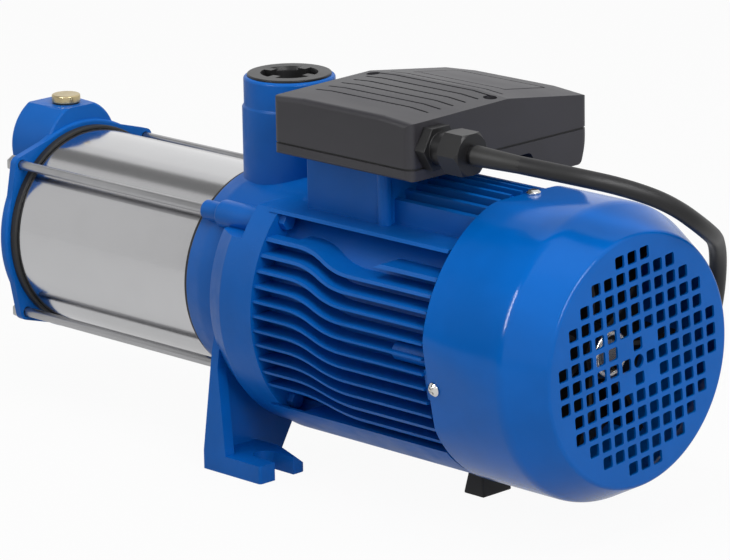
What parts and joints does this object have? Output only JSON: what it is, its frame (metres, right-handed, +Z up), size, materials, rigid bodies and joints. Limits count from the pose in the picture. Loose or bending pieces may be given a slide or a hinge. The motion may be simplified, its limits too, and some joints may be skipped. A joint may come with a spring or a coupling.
{
  "type": "horizontal multistage pump",
  "caption": "Horizontal multistage centrifugal pump with a round steel stage casing, cast bracket and foot, finned blue motor, terminal box and mains cable.",
  "frame": {"origin": "middle of the pump's length and width, on the surface it stands on", "axes": "+X along the shaft from the suction port to the fan cover, +Z up"},
  "size_m": [0.4314, 0.2598, 0.1938],
  "materials": {
    "blue_paint": "semi-gloss blue paint over fine cast and drawn metal",
    "stainless_steel": "fine circumferential grain",
    "zinc_steel": "bright zinc",
    "bearing_steel": "ground and polished",
    "brass": "turned",
    "black_rubber": "matt",
    "black_plastic": "moulded, satin",
    "box_plastic": "moulded, satin dark grey",
    "cable_rubber": "satin",
    "seal_ceramic": "white ceramic, lapped",
    "seal_carbon": "carbon graphite in a steel holder",
    "core_steel": "laminated sheet",
    "copper_wire": "varnished copper",
    "block_plastic": "moulded",
    "capacitor_white": "moulded can"
  },
  "bodies": {
    "pump": {"suction_head": "blue_paint", "suction_gasket": "black_rubber", "bracket_gasket": "black_rubber", "pump_shell": "stainless_steel", "bracket": "blue_paint", "tie_rods": "zinc_steel", "tie_rod_nuts": "zinc_steel", "tie_rod_washers": "zinc_steel", "inlet_plate": "stainless_steel", "diffuser_1": "stainless_steel", "diffuser_2": "stainless_steel", "diffuser_3": "stainless_steel", "diffuser_4": "stainless_steel", "diffuser_5": "stainless_steel", "seal_seat": "seal_ceramic", "front_bearing_outer": "bearing_steel", "rear_bearing_outer": "bearing_steel", "stator_core": "core_steel", "stator_windings": "copper_wire", "motor_housing": "blue_paint", "flange_bolts": "zinc_steel", "end_shield": "blue_paint", "end_shield_bolts": "zinc_steel", "wave_washer": "zinc_steel", "fan_cover": "blue_paint", "cover_screws": "zinc_steel", "rear_foot": "black_rubber", "terminal_box_base": "box_plastic", "terminal_box_gasket": "black_rubber", "terminal_box_lid": "box_plastic", "lid_screws": "zinc_steel", "terminal_block": "block_plastic", "capacitor": "capacitor_white", "gland_body": "black_plastic", "gland_nut": "black_plastic", "mains_cable": "cable_rubber", "cable_coil": "cable_rubber", "mains_plug": "cable_rubber"},
    "rotor": {"shaft": "stainless_steel", "shaft_spacers": "stainless_steel", "impeller_nut": "stainless_steel", "seal_head": "seal_carbon", "slinger": "black_rubber", "front_bearing_inner": "bearing_steel", "rear_bearing_inner": "bearing_steel", "rotor_core": "core_steel", "fan": "black_plastic", "fan_clamp": "zinc_steel", "impeller_1": "stainless_steel", "impeller_2": "stainless_steel", "impeller_3": "stainless_steel", "impeller_4": "stainless_steel", "impeller_5": "stainless_steel"},
    "front_balls": {"front_bearing_balls": "bearing_steel"},
    "rear_balls": {"rear_bearing_balls": "bearing_steel"},
    "priming_cap": {"priming_plug": "brass", "priming_washer": "black_rubber"},
    "drain_cap": {"drain_plug": "brass", "drain_washer": "black_rubber"},
    "discharge_cap": {"discharge_plug": "black_plastic"}
  },
  "joints": [
    {"name": "rotor_spin", "type": "hinge", "parent": "pump", "child": "rotor", "pos_m": [0, 0, 0.084], "axis": [1, 0, 0], "continuous": true},
    {"name": "front_balls_orbit", "type": "hinge", "parent": "pump", "child": "front_balls", "pos_m": [0.006, 0, 0.084], "axis": [1, 0, 0], "continuous": true},
    {"name": "rear_balls_orbit", "type": "hinge", "parent": "pump", "child": "rear_balls", "pos_m": [0.14, 0, 0.084], "axis": [1, 0, 0], "continuous": true},
    {"name": "priming_plug_out", "type": "slide", "parent": "pump", "child": "priming_cap", "axis": [0, 0, 1], "range_m": [0, 0.03]},
    {"name": "drain_plug_out", "type": "slide", "parent": "pump", "child": "drain_cap", "axis": [-1, 0, 0], "range_m": [0, 0.03]},
    {"name": "discharge_plug_out", "type": "slide", "parent": "pump", "child": "discharge_cap", "axis": [0, 0, 1], "range_m": [0, 0.03]}
  ],
  "couplings": [
    {"joint": "front_balls_orbit", "follows": "rotor_spin", "ratio": 0.3825},
    {"joint": "rear_balls_orbit", "follows": "rotor_spin", "ratio": 0.3825}
  ]
}
